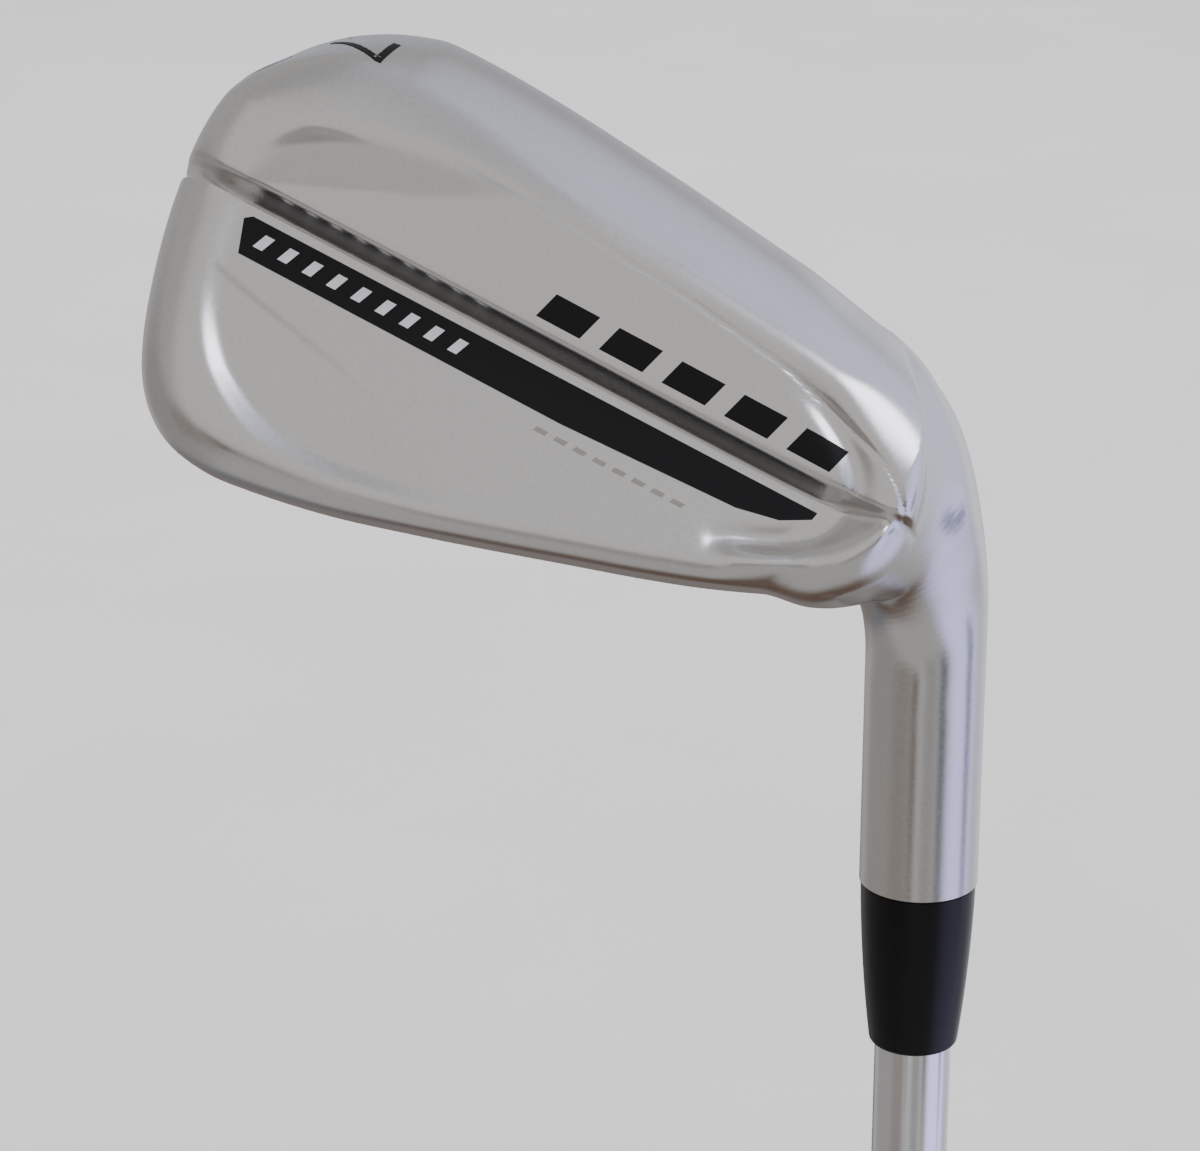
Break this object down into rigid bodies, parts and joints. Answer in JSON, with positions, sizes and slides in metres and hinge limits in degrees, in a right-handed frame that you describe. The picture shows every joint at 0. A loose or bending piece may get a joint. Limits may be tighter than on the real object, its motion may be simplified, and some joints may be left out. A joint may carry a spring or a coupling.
{
  "type": "iron golf club",
  "caption": "Right-handed iron golf club, stored head up: hollow forged head with a muscle back, stepped steel shaft, rubber grip.",
  "frame": {"origin": "centre of the grip cap's flat butt end", "axes": "+Z along the shaft's axis from the grip to the head, -X towards the toe, +Y the way the striking face looks"},
  "size_m": [0.0975, 0.0438, 0.9656],
  "materials": {
    "head_steel": "satin chrome plating over forged steel",
    "face_steel": "fine blasted",
    "weight_metal": "sintered, matt",
    "core_foam": "closed-cell foam",
    "plug_steel": "satin",
    "strip_black": "semi-gloss",
    "tape": "matt",
    "enamel_black": "semi-gloss",
    "enamel_grey": "semi-gloss",
    "enamel_white": "semi-gloss",
    "ferrule_black": "polished with solvent",
    "epoxy": "cured",
    "tip_brass": "turned",
    "shaft_chrome": "polished",
    "band_film": "satin film",
    "grip_rubber": "matt, textured"
  },
  "bodies": {
    "root": {"head_body": "head_steel", "face_insert": "face_steel", "heel_weight": "weight_metal", "toe_weight": "weight_metal", "foam_core": "core_foam", "toe_plug": "plug_steel", "back_strip": "strip_black", "strip_tape": "tape", "strip_marks": "enamel_white", "field_marks": "enamel_grey", "panel_enamel": "enamel_black", "sole_numeral": "enamel_black", "ferrule": "ferrule_black", "epoxy_bond": "epoxy", "tip_plug": "tip_brass", "shaft": "shaft_chrome", "shaft_band": "band_film", "grip_tape": "tape", "grip": "grip_rubber", "grip_cap": "grip_rubber"}
  },
  "joints": []
}
